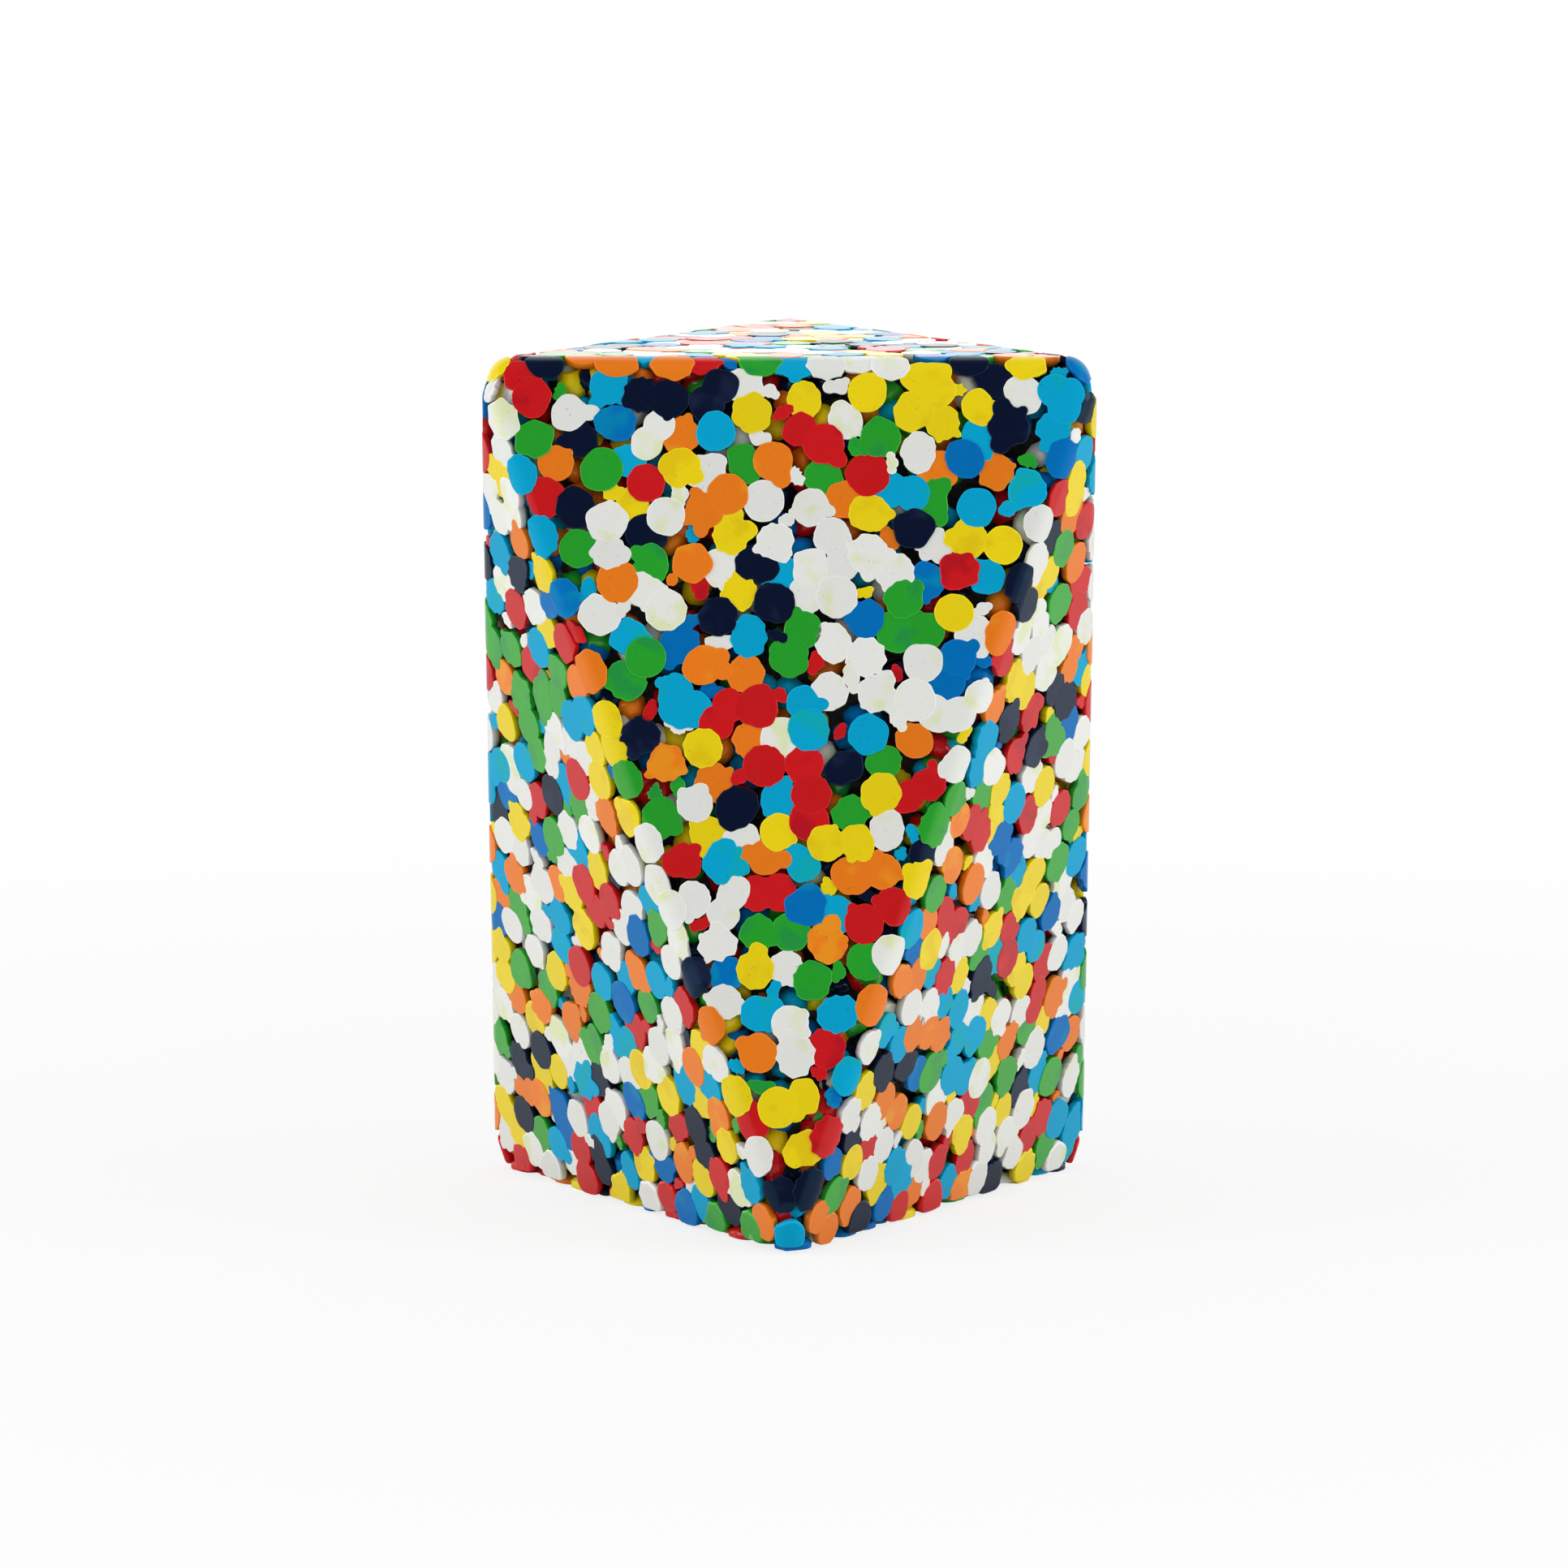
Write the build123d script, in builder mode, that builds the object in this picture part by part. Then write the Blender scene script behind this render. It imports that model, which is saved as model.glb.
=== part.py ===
"""Low stool moulded from fused plastic pellets, in millimetres.

The stool has the form of a triangular antiprism: a triangular seat, an equal
triangular base turned half a turn, and six triangular walls between them. Coarse
pellets of eight colours are pressed flat against the mould as a skin, over a
hollow body of fused backing pellets that a plug closes from below.

+Z is up, the origin is on the floor under the middle of the stool, and one
straight edge of the seat faces -Y.
"""
from build123d import *
from collections import namedtuple
from math import atan, cos, dist, pi, radians, sin, sqrt, tan
import os
import random

# The mould
corner_count = 6  # on the floor and at the seat by turns
first_corner_angle = -90  # about the upright axis, so that this corner points to -Y
stool_height = 450
seat_side = 320  # side of the seat and base triangles, before rounding
edge_radius = 13  # rounding of all the mould's edges

# The body behind the skin
skin_thickness = 5
wall_thickness = 25
plug_thickness = 30  # of the plug inside the walls, above its standing pad

# The pellets of the skin
pellet_width = 22
pellet_gap = 2.5  # least distance between two pellets, and from them to the pad
edge_pitch = 33  # least distance between the middles of two pellets on an edge
fewest_sides = 5
most_sides = 6
outline_unevenness = 0.25  # share of a side's angle by which a corner strays
darts_per_facet = 1500  # random places tried on each facet

# The colours of one batch of pellets, each as often as the mix holds it
batch = (
    ["white"] * 4
    + ["navy", "red", "yellow", "orange", "green", "sky_blue"] * 2
    + ["mid_blue"]
)

circumradius = seat_side / sqrt(3)
apothem = circumradius / 2
lean = atan(apothem / stool_height)  # of every wall, out of the upright
pellet_radius = pellet_width / 2

Pellet = namedtuple("Pellet", "plane colour outline")


# --- The mould's corners, facets and directions --------------------------------
# Corners 0 to 5 run around the stool in turn: even ones on the floor, odd ones at
# the seat. Three corners name a facet, two an edge and one a corner.


def corner(number):
    """A sharp corner of the mould."""
    level = stool_height * (number % 2)
    angle = first_corner_angle + 360 * number / corner_count
    return Vector(circumradius, 0, level).rotate(Axis.Z, angle)


seat_facet = (1, 3, 5)
base_facet = (0, 2, 4)
wall_facets = [(n, (n + 1) % corner_count, (n + 2) % corner_count) for n in range(corner_count)]
edges = [(n, (n + step) % corner_count) for n in range(corner_count) for step in (1, 2)]


def facet_plane(facet):
    """Plane on a facet of the mould, facing outward, with its origin in the middle."""
    first, second, third = (corner(n) for n in facet)
    middle = (first + second + third) / 3
    normal = (second - first).cross(third - first).normalized()
    if normal.dot(middle - Vector(0, 0, stool_height / 2)) < 0:
        normal = -normal
    return Plane(origin=middle, x_dir=second - first, z_dir=normal)


facet_planes = {facet: facet_plane(facet) for facet in [seat_facet, base_facet, *wall_facets]}


def outward(*numbers):
    """Direction midway between the facets that share the given corners."""
    normals = [plane.z_dir for facet, plane in facet_planes.items() if set(numbers) <= set(facet)]
    return sum(normals, Vector()).normalized()


def reach(edge, facet):
    """How far the pellets bent over an edge reach across a facet, from the sharp edge."""
    turn = radians(outward(*edge).get_angle(facet_planes[facet].z_dir))
    return pellet_radius / cos(turn) + skin_thickness * tan(turn)


def mould_block(inset, low, high):
    """The mould's shape between two levels, with its walls moved in by inset."""
    with BuildPart() as block:
        with BuildSketch(Plane.XY.offset(low)):
            Circle(circumradius + skin_thickness)
        extrude(amount=high - low)
        for facet in wall_facets:
            split(bisect_by=facet_planes[facet].offset(-inset), keep=Keep.BOTTOM)
    return block.part


# --- Body: backing pellets fused into a hollow block ---------------------------

inner_block = mould_block(edge_radius, edge_radius, stool_height - edge_radius)

with BuildPart() as envelope:
    add(inner_block)
    offset(amount=edge_radius, kind=Kind.ARC)

with BuildPart() as core_block:
    add(mould_block(skin_thickness, skin_thickness, stool_height - skin_thickness))
    # Sharp corners would come through the rounded skin, so they are cut off behind it
    for number in range(corner_count):
        out = outward(number)
        tip = max(vertex.center().dot(out) for vertex in inner_block.vertices())
        behind_skin = out * (tip + edge_radius - skin_thickness)
        split(bisect_by=Plane(origin=behind_skin, z_dir=out), keep=Keep.BOTTOM)

cavity_inset = skin_thickness + wall_thickness
cavity = mould_block(cavity_inset, skin_thickness, stool_height - cavity_inset)

with BuildPart() as core_shell:
    add(core_block.part)
    add(cavity, mode=Mode.SUBTRACT)

# The plug fills the opening of the shell, and its pad carries the stool inside the
# ring of pellets that wrap the base's edges
pad_inset = (reach((0, 2), base_facet) + pellet_gap) * cos(lean)

with BuildPart() as core_base:
    add(mould_block(cavity_inset, skin_thickness, skin_thickness + plug_thickness))
    add(mould_block(pad_inset, 0, skin_thickness))


# --- Skin: pellets pressed flat against the mould ------------------------------


def pressed_outline(dice):
    """Corners of an uneven polygon, as a pellet takes when its neighbours press on it."""
    sides = dice.randint(fewest_sides, most_sides)
    start = dice.uniform(0, 2 * pi)
    corners = []
    for number in range(sides):
        stray = dice.uniform(-outline_unevenness, outline_unevenness)
        angle = start + 2 * pi * (number + stray) / sides
        corners.append((pellet_radius * cos(angle), pellet_radius * sin(angle)))
    return corners


def press_pellets(places, dice):
    """A pellet at each place, its colour dealt from batch after batch of the mix."""
    colours = []
    pellets = []
    for plane in places:
        if not colours:
            colours = dice.sample(batch, len(batch))
        pellets.append(Pellet(plane, colours.pop(), pressed_outline(dice)))
    return pellets


def cover_facet(facet):
    """Pellets scattered on a facet, clear of each other and of those on its edges."""
    dice = random.Random(f"facet {facet}")
    plane = facet_planes[facet]
    corners = [plane.to_local_coords(corner(n)) for n in facet]
    sides = [(corners[i], corners[(i + 1) % 3]) for i in range(3)]
    margins = [
        reach((facet[i], facet[(i + 1) % 3]), facet) + pellet_gap + pellet_radius for i in range(3)
    ]

    def clear_of_edges(x, y):
        for (start, end), margin in zip(sides, margins):
            along = end - start
            across = abs(along.X * (y - start.Y) - along.Y * (x - start.X)) / along.length
            if across < margin:
                return False
        return True

    spots = [(0.0, 0.0)]
    for _ in range(darts_per_facet):
        u, v = dice.random(), dice.random()
        if u + v > 1:
            u, v = 1 - u, 1 - v
        dart = corners[0] + (corners[1] - corners[0]) * u + (corners[2] - corners[0]) * v
        spot = (dart.X, dart.Y)
        if clear_of_edges(*spot) and all(dist(spot, other) >= pellet_width + pellet_gap for other in spots):
            spots.append(spot)
    seated = [Plane(plane.location * Location((x, y, -skin_thickness))) for x, y in spots]
    return press_pellets(seated, dice)


# Pellets on edges and corners start this far in, where the body hides them
root_depth = pellet_width + 2 * skin_thickness


def row_margin(edge, number):
    """How far from one of its corners the row of pellets on an edge begins."""
    start, end = (corner(n) for n in edge)
    tilt = radians((end - start).get_angle(outward(number)))
    margin = (pellet_radius + skin_thickness) / sin(tilt) + pellet_gap + pellet_radius
    first, last = edge
    if last == number and (last - first) % corner_count == 1:
        # The next edge between two walls leaves this corner at a sharp angle, and the
        # pellet that begins its row stands here: this row ends far enough from it
        wall = (first, last, (last + 1) % corner_count)
        away = corner(wall[2]) - end
        apex = radians(away.get_angle(start - end))
        apart = 2 * reach(edge, wall) + pellet_gap
        margin = margin * cos(apex) + sqrt(apart**2 - (margin * sin(apex)) ** 2)
    return margin


def cover_edge(edge):
    """Pellets in a row along an edge, between those at its two corners."""
    dice = random.Random(f"edge {edge}")
    start, end = (corner(n) for n in edge)
    along = (end - start).normalized()
    out = outward(*edge)
    margins = [row_margin(edge, n) for n in edge]
    room = (end - start).length - sum(margins)
    gaps = int(room // edge_pitch)
    step = room / gaps
    play = (step - pellet_width - pellet_gap) / 2
    places = []
    for number in range(gaps + 1):
        place = margins[0] + number * step
        if 0 < number < gaps:
            place += dice.uniform(-play, play)
        places.append(
            Plane(origin=start + along * place - out * root_depth, x_dir=along, z_dir=out)
        )
    return press_pellets(places, dice)


def cap_corners():
    """One pellet pressed into each corner of the mould."""
    places = []
    for number in range(corner_count):
        out = outward(number)
        places.append(Plane(origin=corner(number) - out * root_depth, z_dir=out))
    return press_pellets(places, random.Random("corners"))


zones = {
    "seat": cover_facet(seat_facet),
    "wall": [pellet for facet in wall_facets for pellet in cover_facet(facet)],
    "edge": [pellet for edge in edges for pellet in cover_edge(edge)] + cap_corners(),
}

parts = {"core_shell": core_shell, "core_base": core_base}
for zone, pellets in zones.items():
    for colour in dict.fromkeys(batch):
        with BuildPart() as group:
            for pellet in pellets:
                if pellet.colour == colour:
                    with BuildSketch(pellet.plane):
                        Polygon(*pellet.outline, align=None)
            if zone == "edge":
                # Bent over the rounded edge outside, seated on the body inside
                extrude(amount=root_depth)
                add(envelope.part, mode=Mode.INTERSECT)
                add(core_block.part, mode=Mode.SUBTRACT)
            else:
                extrude(amount=skin_thickness)
        parts[f"{colour}_{zone}_pellets"] = group

os.makedirs("parts", exist_ok=True)
for name, piece in parts.items():
    piece.part.label = name
    export_step(piece.part, f"parts/{name}.step")
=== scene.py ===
"""The fused-pellet stool as it looks: every pellet of the skin, pressed and glossy."""
import random
from math import atan, cos, floor, pi, radians, sin, sqrt, tau
from operator import attrgetter

import bmesh
import bpy
from mathutils import Matrix, Vector, noise
from mathutils.bvhtree import BVHTree


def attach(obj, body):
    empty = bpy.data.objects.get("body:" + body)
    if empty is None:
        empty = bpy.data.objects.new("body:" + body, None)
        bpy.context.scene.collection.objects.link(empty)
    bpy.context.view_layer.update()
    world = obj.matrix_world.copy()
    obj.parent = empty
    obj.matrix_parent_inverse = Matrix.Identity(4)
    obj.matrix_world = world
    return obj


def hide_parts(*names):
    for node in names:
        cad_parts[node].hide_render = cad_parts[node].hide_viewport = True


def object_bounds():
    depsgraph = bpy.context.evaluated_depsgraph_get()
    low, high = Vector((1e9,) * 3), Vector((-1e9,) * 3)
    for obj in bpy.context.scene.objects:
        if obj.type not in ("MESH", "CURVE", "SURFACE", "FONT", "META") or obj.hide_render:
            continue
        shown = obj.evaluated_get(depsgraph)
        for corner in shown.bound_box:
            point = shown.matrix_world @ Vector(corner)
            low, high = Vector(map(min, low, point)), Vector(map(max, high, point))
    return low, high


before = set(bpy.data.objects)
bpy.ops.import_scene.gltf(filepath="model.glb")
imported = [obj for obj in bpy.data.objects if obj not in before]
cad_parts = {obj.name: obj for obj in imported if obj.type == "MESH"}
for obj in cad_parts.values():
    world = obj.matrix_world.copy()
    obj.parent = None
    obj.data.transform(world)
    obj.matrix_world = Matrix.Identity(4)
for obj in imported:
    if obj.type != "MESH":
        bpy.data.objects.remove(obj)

cad_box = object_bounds()


# --- The mould ------------------------------------------------------------------------
# The stool is pressed in a mould of flat plates: a triangle for the seat and six leaning
# triangular walls, over an equal triangle turned half a turn. Where two plates meet, the
# mould is rounded. The base, where it is filled, is cut off flat.

height = cad_box[1][2] - cad_box[0][2]
plate_side = 0.320  # side of the seat and base triangles, if their corners were sharp
mould_rounding = 0.013
below_base = 0.030  # how far the rounding runs on, so that it doesn't turn in at the base
apothem = plate_side / (2 * sqrt(3))
circumradius = 2 * apothem
lean = atan(apothem / height)  # of every wall, out of the upright
touching = 1e-7  # a point this near to the block inside the rounding lies on it
straight_in = -0.999  # cosine between the way that a face looks and the way in from it


def mould_plates():
    """A point on the seat's plate and on each wall's, and the way it faces, outward."""
    plates = [(Vector((0, 0, height)), Vector((0, 0, 1)))]
    for turn in range(3):
        spin = Matrix.Rotation(turn * tau / 3, 3, "Z")
        # A wall that hangs from a seat edge faces up, and one that stands on a base edge
        # faces down
        seat_edge = spin @ Vector((0, -apothem, height))
        base_edge = spin @ Vector((0, apothem, 0))
        plates.append((seat_edge, spin @ Vector((0, -cos(lean), sin(lean)))))
        plates.append((base_edge, spin @ Vector((0, cos(lean), -sin(lean)))))
    return plates


def cut_block(inset, foot):
    """The stool's sharp-edged form above a level, with its plates moved in by inset."""
    block = bmesh.new()
    bmesh.ops.create_cube(block, size=4 * height)
    cuts = [(point - facing * inset, facing) for point, facing in mould_plates()]
    cuts.append((Vector((0, 0, foot)), Vector((0, 0, -1))))
    for point, facing in cuts:
        cut = bmesh.ops.bisect_plane(
            block,
            geom=block.verts[:] + block.edges[:] + block.faces[:],
            plane_co=point,
            plane_no=facing,
            clear_outer=True,
        )
        rim = [part for part in cut["geom_cut"] if isinstance(part, bmesh.types.BMEdge)]
        bmesh.ops.contextual_create(block, geom=rim)
    bmesh.ops.recalc_face_normals(block, faces=block.faces[:])
    return block


inner_block = cut_block(mould_rounding, -below_base)
rounding_core = BVHTree.FromBMesh(inner_block)
inner_block.free()


def onto_mould(point):
    """The nearest place on the mould's rounded inside, and the way it faces."""
    nearest, facing, _, distance = rounding_core.find_nearest(point)
    outward = point - nearest
    # Straight in from a face is inside, and any other way is outside
    if distance > touching and outward.dot(facing) > straight_in * distance:
        facing = outward / distance
    return nearest + facing * mould_rounding, facing


def onto_base(point):
    """The place on the flat base under or over a point, and the way it faces."""
    return Vector((point.x, point.y, 0)), Vector((0, 0, -1))


def behind_mould(point):
    """How far inside the mould's plates a point is."""
    place, facing = onto_mould(point)
    return (place - point).dot(facing)


# --- The backing ----------------------------------------------------------------------
# Behind the skin lie more of the same pellets, fused where they touch but not pressed
# flat. They show in the gaps of the skin, round and in deep shade, over a core that is
# painted near black as painted shade.

pellet_width = 0.0222
backing_depth = 0.0125  # of the dark core, behind the mould
shuffle = random.Random(11)

# The colours of the eight plastics
mix = {
    "white": (0.76, 0.77, 0.73),
    "navy": (0.0040, 0.0070, 0.028),
    "red": (0.58, 0.006, 0.009),
    "yellow": (0.80, 0.62, 0.002),
    "orange": (0.80, 0.19, 0.007),
    "green": (0.014, 0.35, 0.022),
    "sky_blue": (0.003, 0.35, 0.60),
    "mid_blue": (0.002, 0.150, 0.46),
}
# What shows through a pellet where it is thin
undertone = {
    "white": (0.66, 0.74, 0.36),
    "navy": (0.012, 0.018, 0.052),
    "red": (0.40, 0.003, 0.012),
    "yellow": (0.72, 0.50, 0.002),
    "orange": (0.80, 0.30, 0.010),
    "green": (0.010, 0.26, 0.060),
    "sky_blue": (0.006, 0.38, 0.38),
    "mid_blue": (0.003, 0.24, 0.42),
}
# The tint and the strength of each plastic's gloss, where they differ from the rest
gloss = {
    "navy": ((0.3, 0.8, 1.0), 0.42),
    "sky_blue": ((0.10, 0.85, 1.0), 0.14),
    "mid_blue": ((0.05, 0.85, 1.0), 0.18),
    "green": ((1.0, 1.0, 0.7), 1.0),
}
plain_gloss = ((1.0, 1.0, 1.0), 0.5)


class Value:
    """A shader socket that works with Python's operators."""

    def __init__(self, tree, socket):
        self.tree = tree
        self.socket = socket

    def _maths(self, operation, *terms):
        maths = self.tree.nodes.new("ShaderNodeMath")
        maths.operation = operation
        for slot, term in zip(maths.inputs, terms):
            if isinstance(term, Value):
                self.tree.links.new(term.socket, slot)
            else:
                slot.default_value = term
        return Value(self.tree, maths.outputs[0])

    def __add__(self, other):
        return self._maths("ADD", self, other)

    def __sub__(self, other):
        return self._maths("SUBTRACT", self, other)

    def __rsub__(self, other):
        return self._maths("SUBTRACT", other, self)

    def __mul__(self, other):
        return self._maths("MULTIPLY", self, other)

    __radd__ = __add__
    __rmul__ = __mul__


class Finish:
    """A material, and the one way in which nodes are added to it."""

    def __init__(self, name, holder=None):
        self.holder = holder or bpy.data.materials.new(name)
        self.holder.use_nodes = True
        self.tree = self.holder.node_tree
        self.tree.nodes.clear()

    def node(self, kind, settings=None, sockets=None, output=0):
        """Add a node, set it, fill or link its sockets, and return one of its outputs."""
        node = self.tree.nodes.new("ShaderNode" + kind)
        for name, setting in (settings or {}).items():
            setattr(node, name, setting)
        for name, value in (sockets or {}).items():
            slot = node.inputs[name]
            if isinstance(value, Value):
                self.tree.links.new(value.socket, slot)
            elif isinstance(value, tuple) and slot.type == "RGBA":
                slot.default_value = (*value, 1)
            else:
                slot.default_value = value
        return Value(self.tree, node.outputs[output])

    def blend(self, share, first, second):
        """A colour part of the way from the first to the second."""
        return self.node("Mix", {"data_type": "RGBA"}, {0: share, 6: first, 7: second}, 2)

    def between(self, value, low, high):
        """0 below low, 1 above high, and a soft step between."""
        return self.node(
            "MapRange",
            {"interpolation_type": "SMOOTHSTEP"},
            {"Value": value, "From Min": low, "From Max": high},
        )

    def grain(self, per_metre, detail=2.0, roughness=0.5):
        """Noise in the object's own space, with so many lumps to the metre."""
        place = self.node("TexCoord", output=3)
        return self.node(
            "TexNoise",
            sockets={"Vector": place, "Scale": per_metre, "Detail": detail, "Roughness": roughness},
        )

    def surface(self, shader, sink="OutputMaterial"):
        """Send a shader to the surface, and return the finished material or world."""
        last = self.tree.nodes.new("ShaderNode" + sink)
        self.tree.links.new(shader.socket, last.inputs["Surface"])
        return self.holder


most_thinness = 0.75  # share of the undertone that shows in a thin patch
most_highlight = 0.7  # share of the painted highlight colour that shows on a rim
most_soiling = 0.35  # share of the darker shade that shows in a speck


def moulded_plastic(colour):
    """Glossy plastic of one colour, with rims painted paler as a highlight, thin patches, specks
    and fine dimples.
    """
    finish = Finish(f"{colour}_plastic")
    body = mix[colour]
    # A paler copy of the colour, painted on the rims as a highlight
    highlight_paint = tuple(min(value * 1.35 + 0.01, 0.98) for value in body)
    soiled = tuple(value * 0.35 for value in body)
    # Both are written into the mesh: the rim's share of the painted highlight, and a shade for each
    # pellet
    rim = finish.node("Attribute", {"attribute_name": "rim"}, output=2)
    shade = finish.node("Attribute", {"attribute_name": "shade"}, output=2)
    thin = finish.between(finish.grain(per_metre=55) + shade * 0.10, low=0.56, high=0.72)
    speck = finish.between(finish.grain(per_metre=650, detail=1.0), low=0.70, high=0.76)
    paint = finish.blend(thin * most_thinness, body, undertone[colour])
    paint = finish.blend(rim * most_highlight, paint, highlight_paint)
    paint = finish.blend(speck * most_soiling, paint, soiled)
    lighter = finish.node(
        "HueSaturation",
        sockets={"Color": paint, "Value": 1.0 + shade * 0.05},
    )
    dimples = finish.grain(per_metre=420, detail=3.0, roughness=0.6)
    surface = finish.node("Bump", sockets={"Strength": 0.10, "Distance": 0.0006, "Height": dimples})
    tint, strength = gloss.get(colour, plain_gloss)
    plastic = finish.node(
        "BsdfPrincipled",
        sockets={
            "Base Color": lighter,
            "Roughness": 0.13 + finish.grain(per_metre=130) * 0.10,
            "IOR": 1.38,
            "Specular Tint": tint,
            "Specular IOR Level": strength,
            "Normal": surface,
        },
    )
    return finish.surface(plastic)


plastic = {colour: moulded_plastic(colour) for colour in mix}


class Casting:
    """The mesh of one piece, gathered pellet by pellet."""

    def __init__(self):
        self.points = []
        self.faces = []
        self.rim = []
        self.shade = []

    def add(self, points, rim, shade):
        """Add points and return their numbers."""
        first = len(self.points)
        self.points.extend(points)
        self.rim.extend([rim] * len(points))
        self.shade.extend([shade] * len(points))
        return list(range(first, len(self.points)))

    def join(self, other):
        """Add all of another casting."""
        first = len(self.points)
        self.points.extend(other.points)
        self.rim.extend(other.rim)
        self.shade.extend(other.shade)
        self.faces.extend([first + index for index in face] for face in other.faces)

    def piece(self, name, material, slot, *nodes):
        """Make the piece, which rides on the stool and stands for the given solids."""
        mesh = bpy.data.meshes.new(name)
        mesh.from_pydata(self.points, [], self.faces)
        # rim holds each point's share of the painted highlight on the pellet's rim
        for title, values in (("rim", self.rim), ("shade", self.shade)):
            mesh.attributes.new(title, "FLOAT", "POINT").data.foreach_set("value", values)
        mesh.shade_smooth()
        mesh.materials.append(material)
        thing = bpy.data.objects.new(name, mesh)
        bpy.context.collection.objects.link(thing)
        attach(thing, "root")
        if nodes:
            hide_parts(*nodes)


edge_clearance = 0.0085  # least distance of a pellet's middle from the edge of the base


def random_place():
    """A random place on the mould's inside or the base, with the way it faces."""
    low, high = cad_box
    while True:
        point = Vector([shuffle.uniform(a, b) for a, b in zip(low, high)])
        behind = behind_mould(point)
        # Points in the rounding's thickness cover the surface evenly
        if 0 < behind < mould_rounding and behind < point.z:
            place, facing = onto_mould(point)
            if place.z > edge_clearance:
                return place, facing
        elif point.z < mould_rounding and behind > edge_clearance:
            return onto_base(point)


class Crowd:
    """Places that are taken already, to keep new ones at a distance."""

    def __init__(self, apart):
        self.apart = apart
        self.cells = {}

    def _cell(self, place):
        return tuple(floor(value / self.apart) for value in place)

    def take(self, place):
        self.cells.setdefault(self._cell(place), []).append(place)

    def is_free(self, place):
        x, y, z = self._cell(place)
        return all(
            (place - other).length >= self.apart
            for i in (x - 1, x, x + 1)
            for j in (y - 1, y, y + 1)
            for k in (z - 1, z, z + 1)
            for other in self.cells.get((i, j, k), ())
        )


lump = bmesh.new()
bmesh.ops.create_icosphere(lump, subdivisions=2, radius=1)
lump_points = [vertex.co.copy() for vertex in lump.verts]
lump_faces = [[vertex.index for vertex in face.verts] for face in lump.faces]
lump.free()

lump_sizes = (0.30, 0.52)  # half of a lump's length each way, in pellets' widths
lump_depths = (0.0045, 0.0085)  # from the mould to the front of a lump
lump_clearance = 0.0026  # how far every part of a lump is behind the mould, at least
bulging = 0.35  # how much of a lump's radius comes and goes
bulges = 1.5  # to a radius
lump_spacing = 0.0115
lump_tries = 9000
loose = {colour: Casting() for colour in mix}
second_row = Crowd(lump_spacing)


def drop(place, facing, colour):
    """Add a loose pellet behind a place on the mould."""
    second_row.take(place)
    size = pellet_width * Vector([shuffle.uniform(*lump_sizes) for _ in range(3)])
    spin = Matrix.Rotation(shuffle.uniform(0, tau), 3, facing)
    turned = spin @ facing.to_track_quat("Z", "Y").to_matrix()
    middle = place - facing * (size.z + shuffle.uniform(*lump_depths))
    wobble = Vector((shuffle.uniform(0, 100), 0, 0))
    points = []
    for corner in lump_points:
        bulge = 1 + bulging * noise.noise(corner * bulges + wobble)
        swollen = Vector([value * axis * bulge for value, axis in zip(corner, size)])
        point = middle + turned @ swollen
        beneath, outward = onto_mould(point)
        proud = lump_clearance - (beneath - point).dot(outward)
        point -= outward * max(proud, 0)
        point.z = max(point.z, lump_clearance)
        points.append(point)
    numbers = loose[colour].add(points, 0.0, shuffle.uniform(-1, 1))
    loose[colour].faces.extend([numbers[index] for index in face] for face in lump_faces)


# The mould's corners are at the base and at the seat by turns, from the front one on. A
# lump lies behind each, so that nothing shines through there
corner_count = 6
corner_places = []
for number in range(corner_count):
    at_seat = number % 2
    spin = Matrix.Rotation(number * tau / corner_count, 3, "Z")
    place, facing = onto_mould(spin @ Vector((0, -circumradius, height * at_seat)))
    corner_places.append(place)
    drop(place + Vector((0, 0, edge_clearance)) * (1 - at_seat), facing, "navy")
for _ in range(lump_tries):
    place, facing = random_place()
    if second_row.is_free(place):
        drop(place, facing, shuffle.choice(list(mix)))

for colour, casting in loose.items():
    casting.piece(
        f"backing_{colour}", plastic[colour], f"{colour}_pellets", "core_shell", "core_base"
    )

# The core is one lumpy mass, seen only as darkness between the loose pellets. Its near-black
# colour is painted shade, for the deep shade inside the stool
core_halvings = 5  # of all its edges, to make it fine enough for the lumps
core_swelling = 0.0012
core_swells = 90  # to the metre
core = cut_block(backing_depth, backing_depth)
bmesh.ops.triangulate(core, faces=core.faces[:])
for _ in range(core_halvings):
    bmesh.ops.subdivide_edges(core, edges=core.edges[:], cuts=1, use_grid_fill=True)
core_mesh = bpy.data.meshes.new("backing_core")
core.normal_update()
for vertex in core.verts:
    vertex.co += vertex.normal * core_swelling * noise.noise(vertex.co * core_swells)
core.to_mesh(core_mesh)
core.free()
core_mesh.shade_smooth()
dark = Finish("painted_shade_core")
clumps = dark.between(dark.grain(per_metre=70), low=0.40, high=0.62)
# Near black with brownish clumps: painted shade, not the colour of any plastic
painted_shade = dark.blend(clumps, (0.003, 0.002, 0.002), (0.012, 0.007, 0.005))
crust = dark.grain(per_metre=160)
dark_bump = dark.node("Bump", sockets={"Strength": 0.5, "Distance": 0.002, "Height": crust})
painted_shade_surface = dark.node(
    "BsdfPrincipled",
    sockets={"Base Color": painted_shade, "Roughness": 0.45, "Normal": dark_bump},
)
core_mesh.materials.append(dark.surface(painted_shade_surface))
core_piece = bpy.data.objects.new("backing_core", core_mesh)
bpy.context.collection.objects.link(core_piece)
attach(core_piece, "root")
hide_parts("core_shell", "core_base")


# --- The skin -------------------------------------------------------------------------
# Pellets that lay against the hot plates are pressed into flat discs with thin rims.
# Later ones filled in between them, so that only a crescent of each shows, and on the
# edges they bend round the mould.

near_base = 0.014  # height up to which the pellets are pressed less hard
pressed_rims = (0.00022, 0.00045)  # rounding of the rim of a pellet that is pressed hard
loose_rims = (0.0005, 0.0014)  # and of one that isn't
trims = (0.0002, 0.0030)  # how far a pellet stops short of the base's edge
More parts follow.
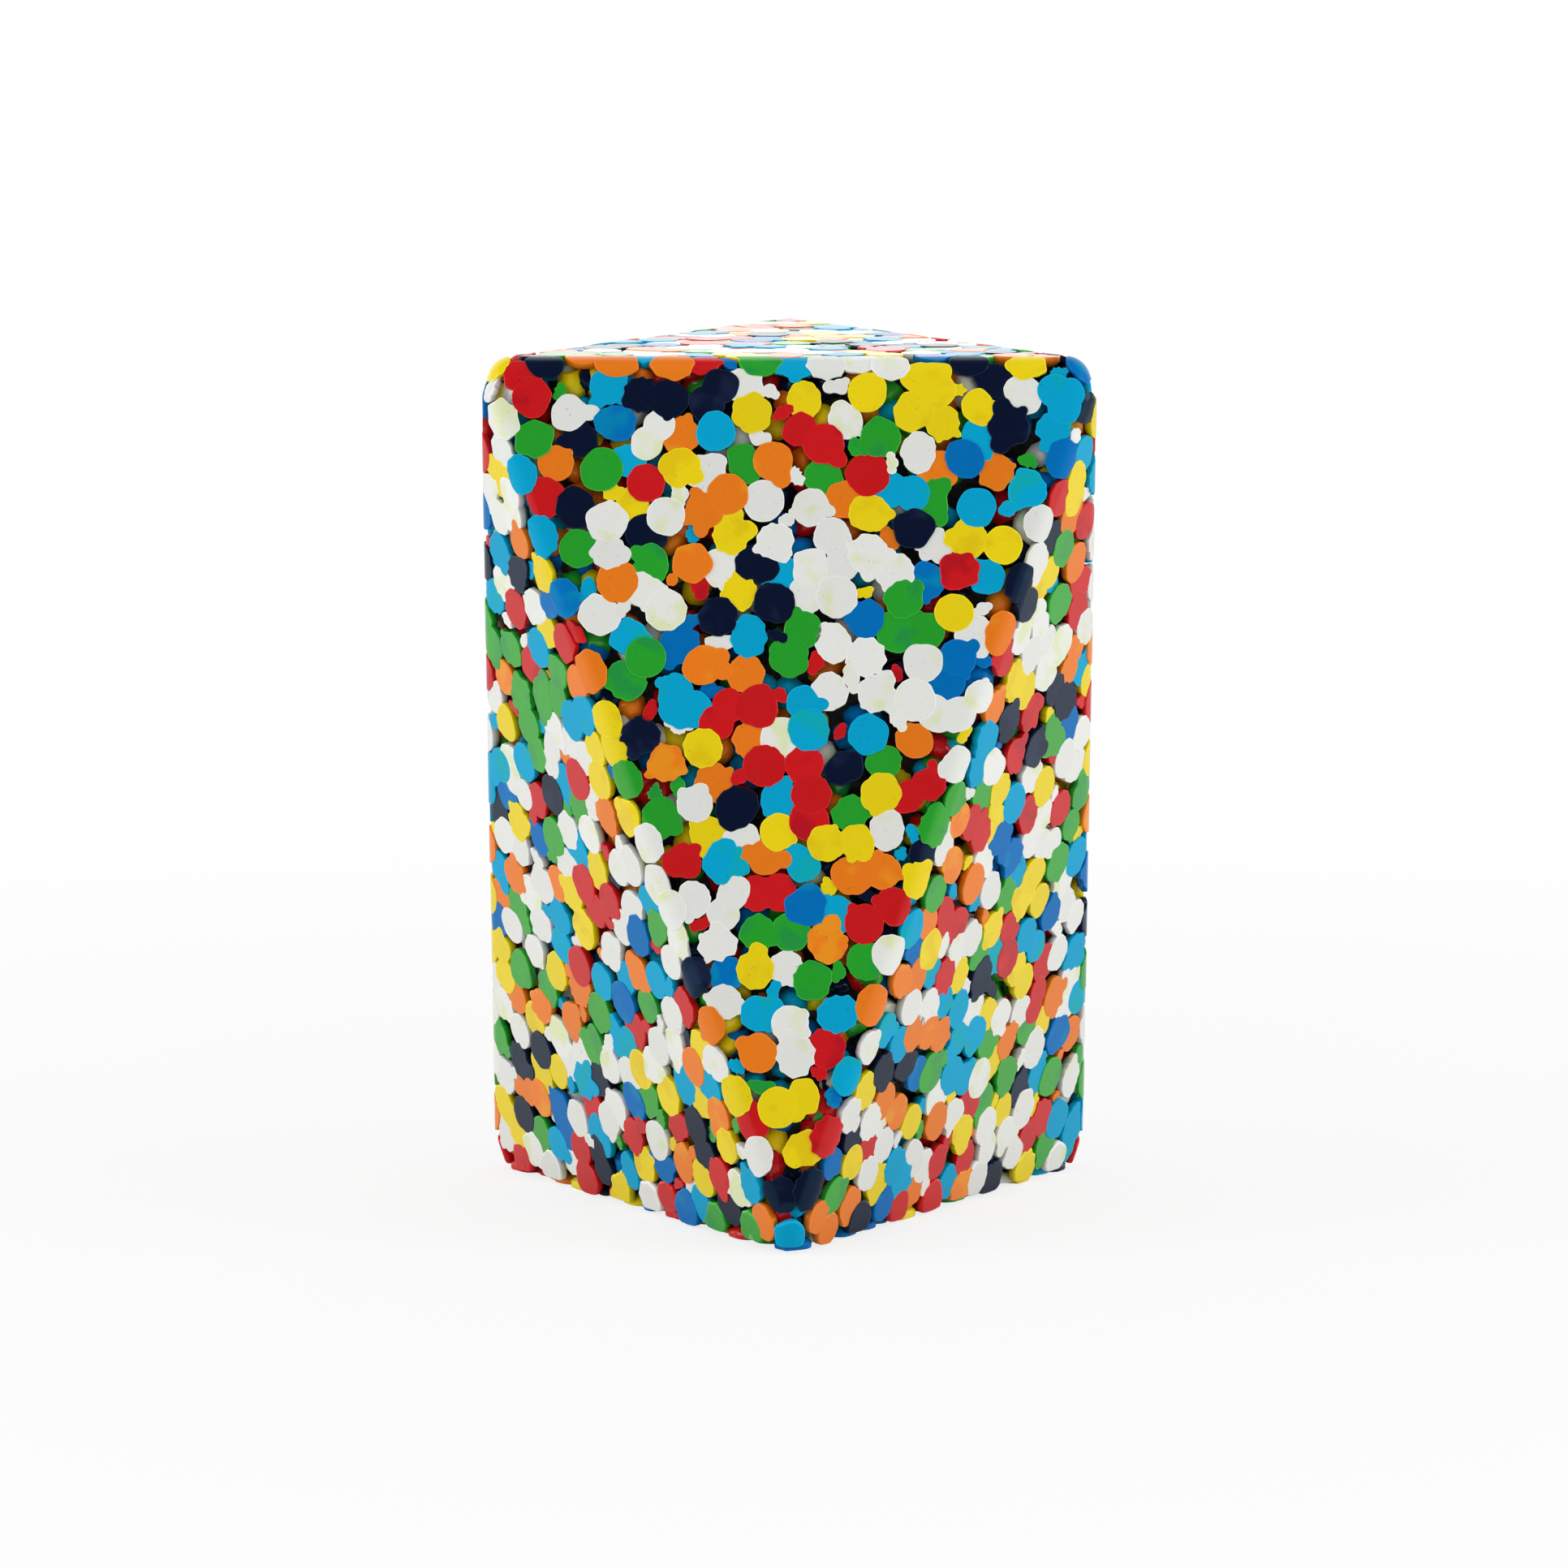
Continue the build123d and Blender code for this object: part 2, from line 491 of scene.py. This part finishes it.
# How strong the waves round an outline are, from an oval to fine lobes
wave_strengths = {
    2: 0.060,
    3: 0.036,
    4: 0.028,
    5: 0.020,
    7: 0.014,
    9: 0.012,
    13: 0.009,
    18: 0.006,
}
mean_scallop = 0.64  # of its greatest depth, so that the scallops leave the width as it is


class Pellet:
    """One pressed pellet: where it lies, how far back, its colour and its outline.

    The outline goes round a few overlapping discs, its lobes. Each is given by the way
    and the distance from the pellet's middle, and its size, both in the pellet's radii.
    """

    def __init__(self, place, facing, depth, colour, width, lobes):
        self.place = place
        self.facing = facing
        self.depth = depth
        self.colour = colour
        self.radius = width / 2
        self.lobes = lobes
        self.reach = self.radius * max(away + size for _, away, size in lobes)
        self.shade = shuffle.uniform(-1, 1)
        self.rounding = shuffle.uniform(*pressed_rims)
        self.trim = shuffle.uniform(*trims)
        raggedness = shuffle.uniform(0.2, 1.2)
        self.waves = [
            (number, shuffle.gauss(0, strength) * raggedness, shuffle.uniform(0, tau))
            for number, strength in wave_strengths.items()
        ]
        # How many scallops, how deep, and the turn; they meet in cusps or in notches
        self.scallops = (shuffle.randint(5, 11), shuffle.gauss(0.02, 0.05), shuffle.uniform(0, tau))
        if place.z < near_base:
            # Where the mould is filled, the pellets aren't pressed hard and stay rounder
            self.rounding = shuffle.uniform(*loose_rims)

    def outline(self, angle):
        """How far the rim is from the middle, in one direction."""
        share = 0.0
        for turn, away, size in self.lobes:
            across = away * sin(angle - turn)
            if abs(across) < size:
                share = max(share, away * cos(angle - turn) + sqrt(size * size - across * across))
        share *= 1 + sum(size * cos(number * angle + turn) for number, size, turn in self.waves)
        number, size, turn = self.scallops
        share += size * (mean_scallop - abs(cos(number * angle / 2 + turn)))
        return self.radius * share


def whole_disc():
    """The lobes of a pellet that stayed almost round."""
    return [(shuffle.uniform(0, tau), 0.05, 1.0)]


def farthest(size, middle_square):
    """How far away a lobe may lie, so that the outline doesn't fold back on itself.

    The middle lobe's size comes in squared.
    """
    return 0.98 * sqrt(middle_square + size * size)


def squeezed_disc():
    """The lobes of a pellet that ran out between its neighbours."""
    lobes = [(0, 0, 0.94)]
    for _ in range(shuffle.choice((1, 1, 2, 3))):
        size = shuffle.uniform(0.16, 0.5)
        away = shuffle.uniform(0.86, 1.12) - size * 0.25
        lobes.append((shuffle.uniform(0, tau), min(away, farthest(size, 0.88)), size))
    return lobes


def joined_discs():
    """The lobes of two or three pellets of one colour that melted into one."""
    turn = shuffle.uniform(0, tau)
    lobes = [(turn, shuffle.uniform(0.5, 0.62), 0.9), (turn + pi, shuffle.uniform(0.5, 0.62), 0.88)]
    if shuffle.random() < 0.3:
        lobes.append((turn + pi / 2, shuffle.uniform(0.6, 0.7), 0.8))
    return lobes


def sliver():
    """The lobes of a thin tongue of plastic."""
    turn = shuffle.uniform(0, tau)
    lobes = [(0, 0, 0.45)]
    for side in (0, pi):
        size = shuffle.uniform(0.2, 0.4)
        away = shuffle.uniform(0.3, farthest(size, 0.2))
        lobes.append((turn + side + shuffle.uniform(-0.5, 0.5), away, size))
    return lobes


def within_solids(point):
    """The point, moved into the solids' box where a rounded corner stands out of it."""
    low, high = cad_box
    return Vector([min(max(value, a), b) for value, a, b in zip(point, low, high)])


shortest_spoke = 0.15  # share of a spoke that is left where it is trimmed
corner_fullness = 7  # how square it is between the trimmed rim and the rest
flat_turn = 0.997  # cosine of the most that the mould turns under a pellet that lies flat
facing_down = -0.9  # a place that faces so far down is on the base
facing_up = 0.9  # and one that faces so far up is on the seat
least_top = 0.8  # share of a spoke that the rounding of the rim leaves, at least
# Shares of the spokes where a bent pellet has more rings, to follow the mould
bending_rings = (0.15, 0.3, 0.45, 0.6, 0.75)
# How far the rim has turned down at each of its rings, and how much of the painted highlight it
# takes there
rim_rings = ((0, 0.6), (pi / 4, 1), (pi / 2, 0.7))
# How deep the side goes below the rim and the back below the top, and how wide they are
side_depth = 0.0025
back_depth = 0.0055
side_share = 1.01
back_share = 0.75


def press(pellet, casting, around):
    """Add a pellet's mesh, with so many spokes, and return whether it is bent.

    It has a flat top, a rounded rim, an upright side and a smaller back.
    """
    rounding = pellet.rounding
    crossing = pellet.facing.orthogonal().normalized()
    spokes = [
        Matrix.Rotation(tau * step / around, 3, pellet.facing) @ crossing for step in range(around)
    ]
    if pellet.facing.z < facing_down:
        lies_on = onto_base
        from_edge = behind_mould
    else:
        lies_on = onto_mould
        from_edge = attrgetter("z")
    outline = []
    for step, spoke in enumerate(spokes):
        length = pellet.outline(tau * step / around)
        start = from_edge(pellet.place)
        end = from_edge(pellet.place + spoke * length)
        if end < start:
            # It rounds off where it comes near to the base's edge
            room = length * max((start - pellet.trim) / (start - end), shortest_spoke)
            length = (length**-corner_fullness + room**-corner_fullness) ** (-1 / corner_fullness)
        outline.append(length)

    def reach(step, distance):
        """The place under one spoke, so far from the middle."""
        return lies_on(pellet.place + spokes[step] * distance)

    every_eighth = range(0, around, around // 8)
    turns = [pellet.facing.dot(reach(step, outline[step])[1]) for step in every_eighth]
    bent = min(turns) < flat_turn
    # Rings of points: their share of the outline, how far inside it, how deep they lie
    # and how much of the rim's painted highlight they take
    rings = [(share, 0, 0, 0) for share in (bending_rings if bent else ())]
    rings.append((1, rounding * 2, 0, 0))
    for turn, highlight_share in rim_rings:
        rings.append((1, rounding * (1 - sin(turn)), rounding * (1 - cos(turn)), highlight_share))
    rings.append((side_share, 0, rounding + side_depth, 0))
    rings.append((back_share, 0, back_depth, 0))

    middle = pellet.place - pellet.facing * pellet.depth
    hub = casting.add([middle], 0, pellet.shade)[0]
    last = None
    for share, inside, under, highlight_share in rings:
        points = []
        for step, length in enumerate(outline):
            place, facing = reach(step, length * max(share - inside / length, share * least_top))
            points.append(within_solids(place) - facing * (pellet.depth + under))
        ring = casting.add(points, highlight_share, pellet.shade)
        for index in range(around):
            after = (index + 1) % around
            if last is None:
                casting.faces.append((hub, ring[index], ring[after]))
            else:
                casting.faces.append((last[index], ring[index], ring[after], last[after]))
        last = ring
    casting.faces.append(tuple(reversed(last)))
    return bent


weld = 1e-5  # points of a solid that are nearer to each other are one


def middles(mesh):
    """The middle of each separate solid in a mesh."""
    block = bmesh.new()
    block.from_mesh(mesh)
    bmesh.ops.remove_doubles(block, verts=block.verts[:], dist=weld)
    unseen = dict.fromkeys(block.verts)  # in order, so that each run adds them up alike
    found = []
    while unseen:
        edge_of_search = [unseen.popitem()[0]]
        joined = []
        while edge_of_search:
            vertex = edge_of_search.pop()
            joined.append(vertex.co.copy())
            for edge in vertex.link_edges:
                other = edge.other_vert(vertex)
                if other in unseen:
                    del unseen[other]
                    edge_of_search.append(other)
        found.append(sum(joined, Vector()) / len(joined))
    block.free()
    return sorted(found, key=lambda middle: tuple(round(value, 5) for value in middle))


# How far each row's pellets are, at least, from each other and from all before them
front_row = Crowd(0.0182)
crescent_row = Crowd(0.0139)
sliver_row = Crowd(0.0124)
corner_spacing = 0.010  # of the pellets round a corner from the one that is pressed into it
layer = 0.00008
melting_reach = pellet_width * 0.9  # how near to each other two of a colour melt into one
melted_step = layer * 0.3
flat_wall = 0.999  # cosine of the most that the mould turns where they do
pellets = []


def lay(place, facing, depth, colour, width, lobes):
    """Put a pellet on the mould, in a layer of its own among those it overlaps."""
    pellet = Pellet(place, facing, depth, colour, width, lobes)
    near = [
        other for other in pellets if (other.place - place).length < other.reach + pellet.reach
    ]
    layers = {round(other.depth / layer) for other in near}
    number = round(depth / layer)
    while number in layers:
        number += 1
    pellet.depth = number * layer
    if onto_mould(place + facing.orthogonal() * pellet_width / 2)[1].dot(facing) > flat_wall:
        for other in near:
            if other.colour == colour and (other.place - place).length < melting_reach:
                # On a flat wall it melts into its neighbour, almost level with it
                pellet.depth = other.depth + melted_step
    pellets.append(pellet)
    for row in (front_row, crescent_row, sliver_row):
        row.take(place)


# How often each colour comes in a batch of the pellets that fill in
batch = (
    ["white"] * 5
    + ["yellow", "sky_blue"] * 3
    + ["red", "orange", "green"] * 2
    + ["navy", "mid_blue"]
)
smallest_hand = 6  # with fewer left to deal than this, the next batch is added
side_by_side = pellet_width * 1.2
too_many_alike = (1, 1, 2)  # neighbours of a colour that bar one more, drawn each time
hand = []


def deal(place, likeness=0.0):
    """A neighbour's colour as often as likeness says, or else the next one of a batch.

    Batch follows batch, and no colour but white often comes to lie beside its own kind.
    """
    if shuffle.random() < likeness:
        nearest = min(pellets, key=lambda other: (other.place - place).length)
        return nearest.colour
    if len(hand) < smallest_hand:
        hand.extend(shuffle.sample(batch, len(batch)))
    around = [other.colour for other in pellets if (other.place - place).length < side_by_side]
    for number, colour in enumerate(hand):
        if colour == "white" or around.count(colour) < shuffle.choice(too_many_alike):
            return hand.pop(number)
    return hand.pop(0)


def free_places(row, tries):
    """Random places that are far enough from a row and from the corners' own pellets."""
    for _ in range(tries):
        place, facing = random_place()
        beside_corner = any((place - corner).length < corner_spacing for corner in corner_places)
        if row.is_free(place) and not beside_corner:
            yield place, facing


# The pellets that the solids already hold keep their colours and their places, except that
# those on the base's edge come a few millimetres higher
for colour in mix:
    for zone in ("seat", "wall", "edge"):
        for middle in middles(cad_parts[f"{colour}_{zone}_pellets"].data):
            place, facing = onto_mould(middle)
            if place.z < edge_clearance:
                place, facing = onto_mould(place + Vector((0, 0, edge_clearance - place.z)))
            width = pellet_width * shuffle.uniform(0.90, 1.02)
            lobes = shuffle.choice((whole_disc, whole_disc, squeezed_disc))()
            depth = shuffle.uniform(0, 0.0002)
            lay(place, facing, depth, colour, width, lobes)

# More lie in front wherever there is room
for place, facing in free_places(front_row, tries=9000):
    width = pellet_width * shuffle.uniform(0.84, 0.98)
    lobes = shuffle.choice((whole_disc, whole_disc, squeezed_disc, squeezed_disc, joined_discs))()
    depth = shuffle.uniform(0.0001, 0.0003)
    lay(place, facing, depth, deal(place), width, lobes)
count_front = len(pellets)

# The crescents are whole pellets, mostly hidden behind the front ones
for place, facing in free_places(crescent_row, tries=16000):
    width = pellet_width * shuffle.uniform(0.84, 1.00)
    lobes = shuffle.choice((whole_disc, squeezed_disc, squeezed_disc))()
    depth = shuffle.uniform(0.0003, 0.0007)
    lay(place, facing, depth, deal(place, likeness=0.25), width, lobes)

# Squeezed-out slivers leave only small dark pockets between the pellets
for place, facing in free_places(sliver_row, tries=16000):
    width = pellet_width * shuffle.uniform(0.6, 0.95)
    depth = shuffle.uniform(0.0006, 0.0018)
    lay(place, facing, depth, deal(place, likeness=0.35), width, sliver())

# How many points go round each ring of a pellet
front_spokes = 56
spokes_behind = 48
skin = {}
for number, pellet in enumerate(pellets):
    casting = Casting()
    bent = press(pellet, casting, front_spokes if number < count_front else spokes_behind)
    if pellet.facing.z < facing_down:
        zone = "base"
    elif bent:
        zone = "edge"
    elif pellet.facing.z > facing_up:
        zone = "seat"
    else:
        zone = "wall"
    skin.setdefault((zone, pellet.colour), Casting()).join(casting)

for (zone, colour), casting in skin.items():
    # The solids have no pellets on the base, so those here replace none
    nodes = [] if zone == "base" else [f"{colour}_{zone}_pellets"]
    casting.piece(f"{zone}_{colour}", plastic[colour], f"{colour}_pellets", *nodes)


# --- The studio -----------------------------------------------------------------------
# A white floor that runs out of sight, in a pale room. Two broad lamps stand beside the
# stool to the left and the right, and one hangs over the seat.

floor_side = 16.0
floor_white = (0.84, 0.84, 0.84)
glow_near = 0.80  # share of plain glowing white in what is seen of it, close to the stool
glow_rise = 0.19  # how much that grows away from the stool
glow_from = 0.35  # how far from the middle of the floor it begins to grow
glow_to = 1.6
half = floor_side / 2
sweep = bpy.data.meshes.new("floor")
floor_corners = [(-half, -half, 0), (half, -half, 0), (half, half, 0), (-half, half, 0)]
sweep.from_pydata(floor_corners, [], [(0, 1, 2, 3)])
floor_piece = bpy.data.objects.new("floor", sweep)
bpy.context.collection.objects.link(floor_piece)
white_floor = Finish("white_floor")
seen = white_floor.node("LightPath", output=0)
matt = white_floor.node("BsdfDiffuse", sockets={"Color": floor_white})
glow = white_floor.node("Emission", sockets={"Color": (1, 1, 1), "Strength": 1.0})
floor_place = white_floor.node("TexCoord", output=3)
outwards = white_floor.node("VectorMath", {"operation": "LENGTH"}, {0: floor_place}, 1)
far = white_floor.between(outwards, glow_from, glow_to)
white = seen * (glow_near + far * glow_rise)
floor_mix = white_floor.node("MixShader", sockets={0: white, 1: matt, 2: glow})
sweep.materials.append(white_floor.surface(floor_mix))

# The room is pale all round. The gloss mirrors a dark opening in front and overhead, and
# a bright wall behind, which washes out the seat.
room_light = 0.75
opening_dark = 0.95  # how much of that the opening lacks
back_light = 1.0  # how much more of it the wall behind has
opening_height = radians(58)
opening_inner = radians(58)  # its soft edge is between these angles from its middle
opening_outer = radians(66)
back_from = 0.2  # share of a direction that points backwards, where the wall begins
back_to = 0.6
opening_towards = (0, -cos(opening_height), sin(opening_height))
room = bpy.data.worlds.new("pale_room")
bpy.context.scene.world = room
air = Finish("pale_room", room)
seen_room = air.node("LightPath", output=0)
glossy = air.node("LightPath", output=3)
towards = air.node("TexCoord", output=0)
into_opening = air.node(
    "VectorMath", {"operation": "DOT_PRODUCT"}, {0: towards, 1: opening_towards}, 1
)
opening = air.between(into_opening, cos(opening_outer), cos(opening_inner))
backwards = air.node("SeparateXYZ", sockets={"Vector": towards}, output=1)
towards_back = air.between(backwards, back_from, back_to)
mirrored = opening * -opening_dark + towards_back * back_light
level = seen_room + (1 - seen_room) * room_light * (1 + glossy * mirrored)
light = air.node("Background", sockets={"Color": (1, 1, 1), "Strength": level})
air.surface(light, "OutputWorld")

lamp_size = 1.6


def lamp(name, azimuth, elevation, distance, power):
    """A broad lamp aimed at the middle of the stool."""
    source = bpy.data.lights.new(name, "AREA")
    source.shape = "DISK"
    source.size = lamp_size
    source.energy = power
    holder = bpy.data.objects.new(name, source)
    bpy.context.collection.objects.link(holder)
    aim = Vector((0, 0, height / 2))
    sideways = Vector((sin(azimuth), -cos(azimuth), 0))
    away = sideways * cos(elevation) + Vector((0, 0, sin(elevation)))
    holder.location = aim + away * distance
    holder.rotation_euler = away.to_track_quat("Z", "Y").to_euler()
    return holder


for name, azimuth in (("lamp_left", radians(-76)), ("lamp_right", radians(76))):
    lamp(name, azimuth, elevation=radians(14), distance=2.6, power=22)
lamp_over = lamp("lamp_over", azimuth=0, elevation=radians(84), distance=2.4, power=6)
lamp_over.visible_glossy = False  # or it would draw a haze along the seat's front edge


# --- The camera -----------------------------------------------------------------------
# It stands straight in front of the stool, a little above the seat, and looks slightly
# down through a long lens.

camera_distance = 4.752
camera_height = 0.839
camera_tilt = 0.1299
camera = bpy.data.cameras.new("camera")
camera.sensor_width = 36
camera.lens = 210
camera.shift_x = -0.0032
viewer = bpy.data.objects.new("camera", camera)
viewer.location = (0, -camera_distance, camera_height)
viewer.rotation_euler = (pi / 2 - camera_tilt, 0, 0)
bpy.context.collection.objects.link(viewer)
bpy.context.scene.camera = viewer
bpy.context.scene.view_settings.view_transform = "Standard"
